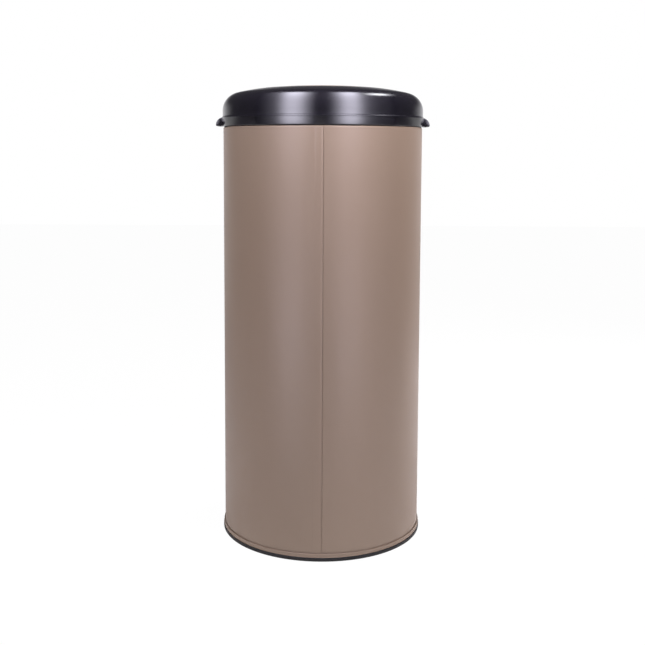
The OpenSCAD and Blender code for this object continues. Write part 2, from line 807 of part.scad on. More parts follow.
module damper_pinion() {
    x0 = arm_out_x + 0.5;
    shaft_end = ear_out_right_x + ear_t + 3;
    step = 360 / pinion_teeth;
    color(nylon) {
        translate([x0, hinge_y, hinge_z - gear_centre])
            rotate([90, 0, 90])
                linear_extrude(pinion_w)
                    polygon([for (i = [0:pinion_teeth - 1])
                        each tooth(pinion_pitch_r, pinion_teeth, 90 + (i + 0.5) * step)]);
        cross_rod(x0 + pinion_w - eps, shaft_end, 0, -gear_centre, pinion_shaft_r);
    }
}

module damper_housing() {
    x0 = ear_out_right_x + ear_t;
    color(soft_black)
        difference() {
            union() {
                cross_rod(x0, x0 + damper_l, 0, -gear_centre, damper_d / 2);
                translate([x0, hinge_y - damper_screw_u, hinge_z - gear_centre - 2.6])
                    cube([1.8, 2 * damper_screw_u, 5.2]);
                for (u = [-damper_screw_u, damper_screw_u])
                    cross_rod(x0, x0 + 1.8, u, -gear_centre, 2.6);
            }
            cross_rod(x0 - 1, x0 + 3.4, 0, -gear_centre, pinion_shaft_r + run_gap);
            for (u = [-damper_screw_u, damper_screw_u])
                cross_rod(x0 - 1, x0 + 3, u, -gear_centre, damper_screw_r + run_gap);
        }
}

module damper_screws() {
    x0 = ear_out_right_x + ear_t + 1.8;
    color(steel)
        for (u = [-damper_screw_u, damper_screw_u]) {
            cross_rod(x0 - 4.5, x0 + eps, u, -gear_centre, damper_screw_r);
            cross_rod(x0, x0 + 1.4, u, -gear_centre, 2.1);
        }
}

// Screws that hold the bracket, the latch and the throat ring under the collar
module head_screws() {
    color(steel) {
        for (x = [-bracket_tab_x, 0, bracket_tab_x])
            translate([x, bracket_boss_y, bracket_tab_z - bracket_tab_t])
                screw(screw_r, bracket_tab_t + screw_bite, screw_head_r, screw_head_t);
        for (x = [-latch_boss_x, latch_boss_x])
            translate([x, latch_y, latch_ear_z - latch_ear_t])
                screw(screw_r, latch_ear_t + screw_bite, screw_head_r, screw_head_t);
        for (angle = throat_screw_angles)
            at_angle(throat_screw_r, angle)
                translate([0, 0, ledge_under_z - throat_flange_t])
                    screw(screw_r, throat_flange_t + screw_bite, screw_head_r, screw_head_t);
    }
}

// Latch

module latch_housing() {
    bore_r = plunger_flange_r + slide_gap;
    stop_z = plunger_foot_z + plunger_flange_t + plunger_travel + 0.1;
    depth = 2 * (bore_r + latch_wall_t);
    color(soft_black)
        difference() {
            union() {
                translate([-latch_w / 2, latch_y - depth / 2, latch_foot_z - latch_floor_t])
                    cube([latch_w, depth, ledge_under_z - latch_foot_z + latch_floor_t]);
                translate([-latch_boss_x - boss_r, latch_y - boss_r, latch_ear_z - latch_ear_t])
                    cube([2 * (latch_boss_x + boss_r), 2 * boss_r, latch_ear_t]);
            }
            translate([0, latch_y, latch_foot_z])
                cylinder(r = bore_r, h = stop_z - latch_foot_z);
            translate([0, latch_y, latch_foot_z])
                cylinder(r = plunger_r + slide_gap, h = ledge_under_z - latch_foot_z + 1);
            translate([0, latch_y, latch_foot_z - latch_floor_t - 1])
                cylinder(r = plunger_bore_r, h = latch_floor_t + 2);
            for (x = [-latch_boss_x, latch_boss_x])
                translate([x, latch_y, latch_ear_z - latch_ear_t - 1])
                    cylinder(r = screw_r + run_gap, h = latch_ear_t + 2);
        }
}

// Sleeve that grips the striker's bulb with the lip inside its mouth
module latch_plunger() {
    mouth_r = neck_r + 0.7;
    color(nylon)
        translate([0, latch_y, 0])
            rotate_extrude()
                polygon([
                    [plunger_bore_r, plunger_foot_z], [plunger_flange_r, plunger_foot_z],
                    [plunger_flange_r, plunger_foot_z + plunger_flange_t],
                    [plunger_r, plunger_foot_z + plunger_flange_t], [plunger_r, plunger_top_z - 0.5],
                    [plunger_r - 0.5, plunger_top_z], [mouth_r + 0.6, plunger_top_z],
                    [mouth_r, plunger_top_z - 0.6], [mouth_r, plunger_top_z - lip_t],
                    [plunger_bore_r, plunger_top_z - lip_t - 0.4]
                ]);
}

function latch_spring_path(r, low, high, turns) =
    [for (i = [0:8 * turns]) [r * cos(45 * i), r * sin(45 * i), low + (high - low) * i / (8 * turns)]];

module latch_spring() {
    wire_r = 0.4;
    path = latch_spring_path(
        plunger_flange_r - 1.2, latch_foot_z + wire_r + fold_gap, plunger_foot_z - wire_r - fold_gap, 5);
    echo(latch_spring_gap = self_gap(path, wire_r, 6));
    color(steel)
        translate([0, latch_y, 0])
            tube(path, wire_r, [0, 0, 1]);
}

// Flap

// Domed steel disc with a turned-down edge
module flap_disc() {
    under_r = disc_dome_r - disc_t;
    dome_c = [0, disc_top_z - disc_dome_r];
    edge = 0.8;
    out_a = acos((disc_r - edge) / disc_dome_r);
    in_a = acos((disc_r - disc_t) / under_r);
    color(taupe)
        rotate_extrude($fn = 180)
            polygon(concat(
                arc(dome_c, disc_dome_r, 90, out_a, 16),
                arc([disc_r - edge, dome_z(disc_r - edge) - edge], edge, 80, 0, 4),
                [[disc_r, disc_under_z], [disc_r - disc_t, disc_under_z]],
                arc(dome_c, under_r, in_a, 90, 16)
            ));
}

// Plastic underside with a low bead above the throat and radial ribs
module flap_liner() {
    top_gap = disc_t + 0.5;
    dome_c = [0, disc_top_z - disc_dome_r];
    up_r = disc_dome_r - top_gap;
    low_r = up_r - liner_t;
    flange_top = liner_flange_z + liner_t;
    skirt_t = 1.8;
    rib_foot_z = liner_flange_z - 1;
    color(soft_black)
        difference() {
            union() {
                rotate_extrude($fn = 180)
                    polygon(concat(
                        arc(dome_c, up_r, 90, acos((liner_skirt_r - 1) / up_r), 12),
                        [[liner_skirt_r, flange_top], [liner_edge_r, flange_top],
                         [liner_edge_r, liner_flange_z], [liner_skirt_r, liner_flange_z],
                         [liner_skirt_r, liner_skirt_z], [liner_skirt_r - skirt_t, liner_skirt_z]],
                        arc(dome_c, low_r, acos((liner_skirt_r - skirt_t) / low_r), 90, 12)
                    ));
                for (i = [0:liner_ribs - 1])
                    rotate([0, 0, 360 * (i + 0.5) / liner_ribs])
                        translate([0, 0.8, 0])
                            rotate([90, 0, 0])
                                linear_extrude(1.6)
                                    polygon([
                                        [10, rib_foot_z], [liner_skirt_r - 1, rib_foot_z],
                                        [liner_skirt_r - 1, dome_z(liner_skirt_r) - top_gap - liner_t + 0.8],
                                        [10, dome_z(10) - top_gap - liner_t + 0.8]
                                    ]);
                translate([0, 0, rib_foot_z])
                    difference() {
                        cylinder(r = 12, h = dome_z(0) - top_gap - liner_t / 2 - rib_foot_z);
                        translate([0, 0, -1])
                            cylinder(r = 10.4, h = dome_z(0) - rib_foot_z);
                    }
            }
            translate([0, latch_y, liner_flange_z - 1])
                cylinder(r = neck_r + 0.2, h = liner_t + 2);
            for (side = [-1, 1])
                translate([side * arm_screw_x, hinge_y + arm_screw_u, liner_flange_z - 1])
                    cylinder(r = damper_screw_r + run_gap, h = liner_t + 2);
        }
}

// Pair of goose-neck arms, joined by a cross bar and screwed to the liner by their pads
module hinge_arms() {
    color(soft_black)
        difference() {
            union() {
                for (x = [[-arm_out_x, -arm_in_x], [arm_in_x, arm_out_x]])
                    side_plate(x[0], x[1]) {
                        circle(r = hub_r);
                        polygon(strip(arm_path, arm_t));
                    }
                for (x = [[-arm_out_x, -arm_pad_x], [arm_pad_x, arm_out_x]])
                    side_plate(x[0], x[1])
                        translate([arm_end_u - arm_t / 2, arm_end_v - pad_t])
                            square([arm_t + pad_overhang, pad_t]);
                cross_rod(-arm_in_x - 1, arm_in_x + 1, cross_bar[0], cross_bar[1], cross_bar_r);
            }
            cross_rod(-arm_out_x - 1, arm_out_x + 1, 0, 0, pin_r + run_gap);
            for (side = [-1, 1])
                translate([side * arm_screw_x, hinge_y + arm_screw_u, liner_flange_z - pad_t - 1])
                    cylinder(r = damper_screw_r + run_gap, h = pad_t + 2);
        }
}

// Headed stud whose bulb the plunger grips
module striker() {
    head_z = liner_flange_z + liner_t;
    color(nylon)
        translate([0, latch_y, 0])
            rotate_extrude()
                polygon([
                    [0, bulb_top_z - bulb_h], [0.8, bulb_top_z - bulb_h], [bulb_r, bulb_top_z - 1.8],
                    [bulb_r, bulb_top_z - 0.8], [neck_r, bulb_top_z], [neck_r, head_z],
                    [3, head_z], [3, head_z + 0.8], [0, head_z + 0.8]
                ]);
}

module flap_screws() {
    color(steel)
        for (side = [-1, 1])
            translate([side * arm_screw_x, hinge_y + arm_screw_u, liner_flange_z + liner_t])
                mirror([0, 0, 1])
                    screw(damper_screw_r, liner_t + pad_t, 2.2, 0.8);
}

body_shell();
bottom_plate();
base_ring();
bag_ring();
collar();
rim_ring();
seat_ring();
throat_ring();
hinge_bracket();
hinge_pin();
pin_clips();
opening_springs();
damper_housing();
damper_pinion();
damper_screws();
head_screws();
latch_housing();
latch_plunger();
latch_spring();
flap_disc();
flap_liner();
hinge_arms();
sector_gear();
striker();
flap_screws();
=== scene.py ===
import math

import bmesh
import bpy
from mathutils import Matrix, Vector


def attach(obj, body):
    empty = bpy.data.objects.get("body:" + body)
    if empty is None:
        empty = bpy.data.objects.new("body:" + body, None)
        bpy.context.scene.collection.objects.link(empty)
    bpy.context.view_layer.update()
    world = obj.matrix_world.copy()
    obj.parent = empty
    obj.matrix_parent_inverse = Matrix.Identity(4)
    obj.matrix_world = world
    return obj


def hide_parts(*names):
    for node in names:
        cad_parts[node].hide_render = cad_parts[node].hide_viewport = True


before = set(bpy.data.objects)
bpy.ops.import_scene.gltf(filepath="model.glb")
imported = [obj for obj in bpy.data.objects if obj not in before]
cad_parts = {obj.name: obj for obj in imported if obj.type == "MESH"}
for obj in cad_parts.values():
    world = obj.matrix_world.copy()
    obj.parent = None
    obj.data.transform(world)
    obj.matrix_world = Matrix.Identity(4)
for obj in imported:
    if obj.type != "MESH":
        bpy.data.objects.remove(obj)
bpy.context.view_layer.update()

# Camera
# The bin was shot a little below its own top, from about one and a half metres, with the
# seam side towards the camera. Place, tilt and lens come from its outline.
camera_away = 1.4563
camera_high = 0.58093
camera_tilt = 0.09616
camera_roll = 0.00432
camera_data = bpy.data.cameras.new("camera")
camera_data.sensor_width = 36.0
camera_data.lens = 53.17
camera_data.shift_x = 0.00031
camera_data.shift_y = -0.12313
camera_data.clip_start = 0.05
camera = bpy.data.objects.new("camera", camera_data)
camera.matrix_world = (
    Matrix.Translation((0, -camera_away, camera_high))
    @ Matrix.Rotation(math.pi / 2 - camera_tilt, 4, "X")
    @ Matrix.Rotation(camera_roll, 4, "Z")
)
bpy.context.collection.objects.link(camera)
bpy.context.scene.camera = camera
bpy.context.scene.view_settings.view_transform = "Standard"


# Studio scrims
# Two tall white scrims stand in front and lean over the bin, each with a lit cloth low over the
# floor, and a lamp hangs above at the right. All are laid out along what the head mirrors.
def link(tree, a, a_out, b, b_in):
    tree.links.new(a.outputs[a_out], b.inputs[b_in])


def maths_node(tree, operation, second=None):
    node = tree.nodes.new("ShaderNodeMath")
    node.operation = operation
    if second is not None:
        node.inputs[1].default_value = second
    return node


def mirrored_from(turn, lean):
    """Direction that the camera sees mirrored at the head's skin, turned and leaning back."""
    turn = math.radians(turn)
    lean = math.radians(lean)
    face = Vector((math.sin(turn) * math.cos(lean), -math.cos(turn) * math.cos(lean), math.sin(lean)))
    sight = Vector((0, -1, 0))
    return 2 * face.dot(sight) * face - sight


mirror_r = 0.14
mirror_z = 0.65
down_to_cloth = 0.62


def scrim(name, side, turns, leans, away, strength, colour):
    """Lit cloth that far away from the head, or lying low over the floor where away is nothing."""
    verts = []
    glow = []
    for lean, level in leans:
        for turn, share in turns:
            start = Vector((side * mirror_r * math.sin(math.radians(turn)),
                            -mirror_r * math.cos(math.radians(turn)), mirror_z))
            ray = mirrored_from(side * turn, lean)
            verts.append(start + (away or -down_to_cloth / ray.z) * ray)
            glow.append(level * share)
    wide = len(turns)
    faces = [(i * wide + k, i * wide + k + 1, (i + 1) * wide + k + 1, (i + 1) * wide + k)
             for i in range(len(leans) - 1) for k in range(wide - 1)]
    mesh = bpy.data.meshes.new(name)
    mesh.from_pydata(verts, [], faces)
    shine = mesh.attributes.new("glow", "FLOAT", "POINT")
    shine.data.foreach_set("value", glow)
    cloth = bpy.data.materials.new(name)
    cloth.use_nodes = True
    tree = cloth.node_tree
    tree.nodes.clear()
    amount = tree.nodes.new("ShaderNodeAttribute")
    amount.attribute_name = "glow"
    power = maths_node(tree, "MULTIPLY", strength)
    lit = tree.nodes.new("ShaderNodeEmission")
    lit.inputs["Color"].default_value = (*colour, 1)
    out = tree.nodes.new("ShaderNodeOutputMaterial")
    link(tree, amount, "Fac", power, 0)
    link(tree, power, 0, lit, "Strength")
    link(tree, lit, 0, out, 0)
    mesh.materials.append(cloth)
    screen = bpy.data.objects.new(name, mesh)
    screen.visible_camera = False
    screen.visible_shadow = False
    screen.visible_diffuse = False
    bpy.context.collection.objects.link(screen)


# Each is a turn or a lean in degrees and how brightly the cloth is lit there
rise = [(-3, 0.0), (-1, 0.8), (1, 1.0), (8, 1.0), (16, 1.0), (24, 1.05), (32, 1.15), (40, 1.3), (46, 1.3),
        (50, 1.15), (53, 0.0)]
foot_rise = [(-16.2, 0.0), (-15.2, 0.9), (-12, 1.0), (-10.5, 1.3), (-9.3, 1.3), (-8.6, 0.0)]
back_rise = [(40.5, 0), (42.5, 0.9), (48, 1), (50, 0)]
left_turns = [(4, 0), (6, 0.12), (9, 0.38), (12, 0.8), (15, 1.05), (19, 1.03), (22, 0.66), (25, 0.25),
              (28, 0.1), (34, 0.03), (40, 0)]
right_turns = [(2, 0), (5, 0.1), (8.4, 0.38), (11, 0.78), (14, 1.05), (18, 1.0), (20.4, 0.62), (23.5, 0.24),
               (26.7, 0.11), (32, 0.045), (39, 0.025), (45, 0)]
back_turns = [(23, 0), (26, 0.3), (30, 0.75), (34, 1), (36.5, 1), (40, 0.5), (44, 0.12), (48, 0)]
scrim_away = 0.62
lamp_away = 0.55
scrim_white = (0.95, 0.92, 1.08)
scrim("scrim_left", -1, left_turns, rise, scrim_away, 7.5, scrim_white)
scrim("scrim_right", 1, right_turns, rise, scrim_away, 7.7, scrim_white)
scrim("scrim_left_foot", -1, left_turns, foot_rise, 0, 7.3, scrim_white)
scrim("scrim_right_foot", 1, right_turns, foot_rise, 0, 7.5, scrim_white)
scrim("lamp_back", 1, back_turns, back_rise, lamp_away, 14, (0.95, 0.94, 1.0))


# Soft boxes
# Seven soft lamps light the can from the sides, from behind, from above and from low down.
# Neither the camera nor a mirrored ray sees them.
def soft_box(name, place, aim, width, height, watts, colour=(1.0, 0.965, 1.0)):
    data = bpy.data.lights.new(name, "AREA")
    data.shape = "RECTANGLE"
    data.size = width
    data.size_y = height
    data.energy = watts
    data.color = colour
    lamp = bpy.data.objects.new(name, data)
    lamp.location = place
    lamp.rotation_euler = (Vector(aim) - Vector(place)).to_track_quat("-Z", "Z").to_euler()
    lamp.visible_camera = False
    lamp.visible_glossy = False
    bpy.context.collection.objects.link(lamp)


middle = (0, 0, 0.3)
soft_box("side_left", (-1.5, 0, 1.0), middle, 0.4, 0.5, 8.5)
soft_box("front_left", (-0.96, -1.15, 1.0), middle, 0.4, 0.5, 2.0)
soft_box("front_right", (1.36, -0.63, 1.0), middle, 0.4, 0.5, 4.5)
soft_box("back_right", (1.2, 0.9, 1.0), middle, 0.6, 0.5, 20, (1.0, 0.965, 0.98))
soft_box("low_right", (1.36, -0.63, 0.12), middle, 0.4, 0.24, 1.1)
soft_box("low_front", (0, -0.8, 0.08), (0, 0, 0.05), 1.4, 0.12, 0.4)
soft_box("top_front", (0.1, -0.45, 1.15), (0, -0.15, 0.6), 0.7, 0.25, 7.9, (1.0, 0.97, 1.0))


# World and floor
# A white sweep stands behind the bin and the rest of the studio is dark. The floor is white,
# throws light back at the foot and keeps a faint shadow where the bin stands.
def ramp(tree, start, end, first=0.0, last=1.0):
    """Node that eases from first to last while its value goes from start to end."""
    node = tree.nodes.new("ShaderNodeMapRange")
    node.interpolation_type = "SMOOTHSTEP"
    node.inputs["From Min"].default_value = start
    node.inputs["From Max"].default_value = end
    node.inputs["To Min"].default_value = first
    node.inputs["To Max"].default_value = last
    return node


world = bpy.data.worlds.new("studio")
bpy.context.scene.world = world
world.use_nodes = True
sky = world.node_tree
sky.nodes.clear()
direction = sky.nodes.new("ShaderNodeTexCoord")
axes = sky.nodes.new("ShaderNodeSeparateXYZ")
behind = ramp(sky, 0.5, 0.95)
low = ramp(sky, 0.3, 0.05)
both = maths_node(sky, "MULTIPLY")
sweep = sky.nodes.new("ShaderNodeMix")
sweep.data_type = "RGBA"
sweep.inputs["A"].default_value = (0.08, 0.077, 0.083, 1)
sweep.inputs["B"].default_value = (0.95, 0.94, 0.97, 1)
seen = sky.nodes.new("ShaderNodeLightPath")
to_camera = sky.nodes.new("ShaderNodeMix")
to_camera.data_type = "RGBA"
to_camera.inputs["B"].default_value = (1, 1, 1, 1)
light = sky.nodes.new("ShaderNodeBackground")
sky_out = sky.nodes.new("ShaderNodeOutputWorld")
link(sky, direction, "Generated", axes, "Vector")
link(sky, axes, "Y", behind, "Value")
link(sky, axes, "Z", low, "Value")
link(sky, behind, "Result", both, 0)
link(sky, low, "Result", both, 1)
link(sky, both, 0, sweep, "Factor")
link(sky, sweep, "Result", to_camera, "A")
link(sky, seen, "Is Camera Ray", to_camera, "Factor")
link(sky, to_camera, "Result", light, "Color")
link(sky, light, 0, sky_out, 0)

floor_mesh = bpy.data.meshes.new("floor")
floor_mesh.from_pydata([(-6, -6, 0), (6, -6, 0), (6, 6, 0), (-6, 6, 0)], [], [(0, 1, 2, 3)])
floor = bpy.data.objects.new("floor", floor_mesh)
bpy.context.collection.objects.link(floor)
floor_paint = bpy.data.materials.new("floor")
floor_paint.use_nodes = True
tree = floor_paint.node_tree
tree.nodes.clear()
matt = tree.nodes.new("ShaderNodeBsdfDiffuse")
matt.inputs["Color"].default_value = (0.85, 0.84, 0.84, 1)
glow = tree.nodes.new("ShaderNodeEmission")
glow.inputs["Strength"].default_value = 1.02
seen = tree.nodes.new("ShaderNodeLightPath")
where = tree.nodes.new("ShaderNodeTexCoord")
across = tree.nodes.new("ShaderNodeSeparateXYZ")
from_bin = tree.nodes.new("ShaderNodeVectorMath")
from_bin.operation = "LENGTH"
sweep_start = ramp(tree, 0.5, 2.5, 0.0, 0.55)
near = ramp(tree, 0.16, 0.45, 0.85, 0.0)
share = maths_node(tree, "MULTIPLY", 0.96)
mirrored = maths_node(tree, "MULTIPLY_ADD")
bounced = maths_node(tree, "MULTIPLY_ADD")
mix = tree.nodes.new("ShaderNodeMixShader")
out = tree.nodes.new("ShaderNodeOutputMaterial")
link(tree, where, "Object", across, "Vector")
link(tree, across, "Y", sweep_start, "Value")
link(tree, where, "Object", from_bin, 0)
link(tree, from_bin, "Value", near, "Value")
link(tree, seen, "Is Camera Ray", share, 0)
link(tree, seen, "Is Glossy Ray", mirrored, 0)
link(tree, sweep_start, "Result", mirrored, 1)
link(tree, share, 0, mirrored, 2)
link(tree, seen, "Is Diffuse Ray", bounced, 0)
link(tree, near, "Result", bounced, 1)
link(tree, mirrored, 0, bounced, 2)
link(tree, bounced, 0, mix, 0)
link(tree, matt, 0, mix, 1)
link(tree, glow, 0, mix, 2)
link(tree, mix, 0, out, 0)
floor.data.materials.append(floor_paint)


# Can wall
# Rolled steel sheet, its ends hooked together in a lock seam down the back, its top edge
# curled inwards and its foot flanged out for the bottom. It is powder coated in taupe.
mm = 0.001
can_r = 150
sheet = 0.6
rim_z = 616.5
curl_r = 2.3
foot_z = 5.85
flange_r = can_r + 1.05
seam_at = -math.pi / 2 + 1 / can_r


def arc(cx, cz, r, start, end, steps):
    turns = [math.radians(start + (end - start) * i / steps) for i in range(steps + 1)]
    return [(cx + r * math.cos(a), cz + r * math.sin(a)) for a in turns]


def baked(holder, name):
    """Plain mesh of an object with its modifiers applied. The object goes."""
    bpy.context.collection.objects.link(holder)
    graph = bpy.context.evaluated_depsgraph_get()
    mesh = bpy.data.meshes.new_from_object(holder.evaluated_get(graph))
    mesh.name = name
    bpy.data.objects.remove(holder)
    return mesh


def new_piece(name, mesh, body, node, material, sharp=40):
    mesh.polygons.foreach_set("use_smooth", [True] * len(mesh.polygons))
    mesh.set_sharp_from_angle(angle=math.radians(sharp))
    mesh.materials.clear()
    mesh.materials.append(material)
    mesh.polygons.foreach_set("material_index", [0] * len(mesh.polygons))
    piece = bpy.data.objects.new(name, mesh)
    bpy.context.collection.objects.link(piece)
    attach(piece, body)
    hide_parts(node)


def turned(name, outline, turns=256, place=None):
    """Mesh of a closed outline of (radius, height) in millimetres, turned about the upright axis.

    Turns is a count, a list of angles all round, or a tuple of angles for a part of a turn."""
    bm = bmesh.new()
    rings = []
    whole = not isinstance(turns, tuple)
    if isinstance(turns, int):
        turns = [2 * math.pi * i / turns for i in range(turns)]
    for a in turns:
        ring = []
        for r, z in outline:
            if place:
                r = place(r, z, a)
            ring.append(bm.verts.new((r * mm * math.cos(a), r * mm * math.sin(a), z * mm)))
        rings.append(ring)
    count = len(outline)
    for i in range(len(rings) if whole else len(rings) - 1):
        a, b = rings[i], rings[(i + 1) % len(rings)]
        for k in range(count):
            m = (k + 1) % count
            on_axis = [outline[k][0] == 0, outline[m][0] == 0]
            if all(on_axis):
                continue
            if on_axis[0]:
                bm.faces.new([a[k], b[m], a[m]])
            elif on_axis[1]:
                bm.faces.new([a[k], b[k], a[m]])
            else:
                bm.faces.new([a[k], b[k], b[m], a[m]])
    if not whole:
        bm.faces.new(rings[0])
        bm.faces.new(rings[-1])
    bmesh.ops.remove_doubles(bm, verts=bm.verts, dist=1e-7)
    bmesh.ops.recalc_face_normals(bm, faces=bm.faces)
    mesh = bpy.data.meshes.new(name)
    bm.to_mesh(mesh)
    bm.free()
    return mesh


def srgb(*rgb):
    return tuple((c / 255 / 12.92) if c < 11 else ((c / 255 + 0.055) / 1.055) ** 2.4 for c in rgb)


def skin(name, colour, rough, dark=0.95, grain=0.1, fine=1400, metal=0.0, ior=1.5):
    """Coated, moulded or plated surface: a fine grain over a barely clouded colour."""
    material = bpy.data.materials.new(name)
    material.use_nodes = True
    tree = material.node_tree
    surface = tree.nodes["Principled BSDF"]
    place = tree.nodes.new("ShaderNodeTexCoord")
    cloud = tree.nodes.new("ShaderNodeTexNoise")
    cloud.inputs["Scale"].default_value = 9
    cloud.inputs["Detail"].default_value = 4
    speck = tree.nodes.new("ShaderNodeTexNoise")
    speck.inputs["Scale"].default_value = fine
    speck.inputs["Detail"].default_value = 2
    tint = tree.nodes.new("ShaderNodeMix")
    tint.data_type = "RGBA"
    tint.inputs["A"].default_value = (*[c * dark for c in colour], 1)
    tint.inputs["B"].default_value = (*[min(1, c * (2 - dark)) for c in colour], 1)
    half = maths_node(tree, "MULTIPLY", 0.55)
    blend = maths_node(tree, "MULTIPLY_ADD", 0.45)
    dull = tree.nodes.new("ShaderNodeMapRange")
    dull.inputs["To Min"].default_value = rough * 0.9
    dull.inputs["To Max"].default_value = rough * 1.1
    bump = tree.nodes.new("ShaderNodeBump")
    bump.inputs["Strength"].default_value = 0.35
    bump.inputs["Distance"].default_value = grain * mm
    link(tree, place, "Object", cloud, "Vector")
    link(tree, place, "Object", speck, "Vector")
    link(tree, cloud, "Fac", half, 0)
    link(tree, speck, "Fac", blend, 0)
    link(tree, half, 0, blend, 2)
    link(tree, blend, 0, tint, "Factor")
    link(tree, tint, "Result", surface, "Base Color")
    link(tree, cloud, "Fac", dull, "Value")
    link(tree, dull, "Result", surface, "Roughness")
    link(tree, speck, "Fac", bump, "Height")
    link(tree, bump, "Normal", surface, "Normal")
    surface.inputs["Metallic"].default_value = metal
    surface.inputs["IOR"].default_value = ior
    return material


def smooth(x):
    x = min(1.0, max(0.0, x))
    return x * x * (3 - 2 * x)


def bell(x, wide):
    return math.exp(-((x / wide) ** 2))


fold_wide = 11.0
fold_deep = 1.2
gap_half = 0.4
crease_at = 12.4
valley_foot = 540


def seam_place(r, z, a):
    """Outside, the folded edge rolls over into a fine open gap. Inside, the fold stands proud."""
    out_of_curl = math.hypot(r - can_r + curl_r, z - rim_z + curl_r) - curl_r
    if z < foot_z + 1.5 or z > rim_z - curl_r and (r < can_r - curl_r or out_of_curl < -0.3):
        return r
    s = (a - seam_at) * can_r
    above_foot = smooth((z - foot_z - 1.5) / 3)
    inner = smooth((rim_z - 2 * curl_r - z) / 4) * above_foot
    if r < can_r - 0.2:
        fold = smooth((s + fold_wide) / 0.8) * smooth((0.6 - s) / 0.8)
        return r - fold_deep * fold * inner
    outer = smooth((rim_z - 0.3 - z) / 1.2) * above_foot
    gap = (0.5 + 0.8 * inner) * smooth((gap_half - abs(s)) / 0.08)
    roll = 0.55 * max(0.0, (s + 4.0) / 3.65) ** 2 if s < -0.35 else 0.0
    crease = 0.14 * bell(s + crease_at, 0.16)
    valley = 0.4 * smooth((z - valley_foot) / 60) * smooth((s + 17.0) / 5.0) * smooth((-9.2 - s) / 2.8)
    return r - outer * (valley + gap + roll + crease)


# Distances round the wall from the seam's gap where the sheet bends
seam_marks = [-18.5, -17.5, -16.5, -15.5, -14.5, -13.7, -13, -12.75, -12.55, -12.4, -12.25, -12.05, -11.8,
              -11.4, -11, -10.6, -10.2, -9.8, -9.4, -9, -8.4, -7.6, -6.6, -5, -3.6, -2.6, -2.1, -1.7, -1.4,
              -1.1, -0.85, -0.6, -0.41, -0.32, 0, 0.32, 0.41, 0.6, 1.0, 1.8, 3]
seam_turns = [seam_at + s / can_r for s in seam_marks]
rest_of_turn = 2 * math.pi - (seam_turns[-1] - seam_turns[0])
around = seam_turns + [seam_turns[-1] + rest_of_turn * i / 250 for i in range(1, 250)]
wall_rows = [foot_z + 1.6, foot_z + 3, foot_z + 4.6, 100, 200, 300, 400, 500, 550, 600, 608.5, 611.9, 613.4]
can_outline = (
    [(can_r - sheet, foot_z), (flange_r, foot_z), (flange_r, foot_z + sheet), (can_r, foot_z + sheet)]
    + [(can_r, z) for z in wall_rows]
    + arc(can_r - curl_r, rim_z - curl_r, curl_r, 0, 290, 24)
    + arc(can_r - curl_r, rim_z - curl_r, curl_r - sheet, 290, 0, 20)
    + [(can_r - sheet, z) for z in reversed(wall_rows)]
)
taupe_coat = skin("taupe_coat", srgb(144.7, 124.4, 109), 0.4, 0.975, ior=1.6)
new_piece("can_wall", turned("can_wall", can_outline, around, seam_place), "can", "body_shell",
          taupe_coat, 50)

# Bottom and its double seam
# Pressed steel panel set up inside the can. Its edge is rolled over the wall's flange into a
# bead that runs round the foot and is pinched where it meets the lock seam.
bead_r = 151.7
bead_low = 5.2
bead_top = 11.4
bead_in_r = 151.0
panel_z = 16
panel_corner = (146.35, 13)
corner_r = 3


def bead_place(r, z, a):
    if r < bead_r - 1.2 or z < bead_low + 2:
        return r
    s = (a - seam_at) * can_r
    pinch = bell(s + 4.0, 3.4)
    return r - 0.45 * pinch * smooth((z - bead_low - 2) / 4)


bottom_outline = (
    [(0, panel_z), (60, panel_z)]
    + arc(*panel_corner, corner_r, 90, 0, 8)
    + [(panel_corner[0] + corner_r, 5.8), (bead_r - sheet, 5.8), (bead_r - sheet, bead_top - 1.6),
       (bead_in_r, bead_top - 1.3), (bead_in_r, bead_top - 0.3)]
    + arc(bead_r - 1.3, bead_top - 1.3, 1.3, 58, -7, 8)
    + [(bead_r - 0.42, bead_low + 1.6), (bead_r - 0.35, bead_low + 1.25)]
    + arc(bead_r - 0.5, bead_low + 0.5, 0.5, 50, -90, 8)
    + [(panel_corner[0] + corner_r - sheet, bead_low)]
    + arc(*panel_corner, corner_r - sheet, 0, 90, 8)
    + [(60, panel_z - sheet), (0, panel_z - sheet)]
)
new_piece("bottom", turned("bottom", bottom_outline, around, bead_place), "can",
          "bottom_plate", taupe_coat, 50)


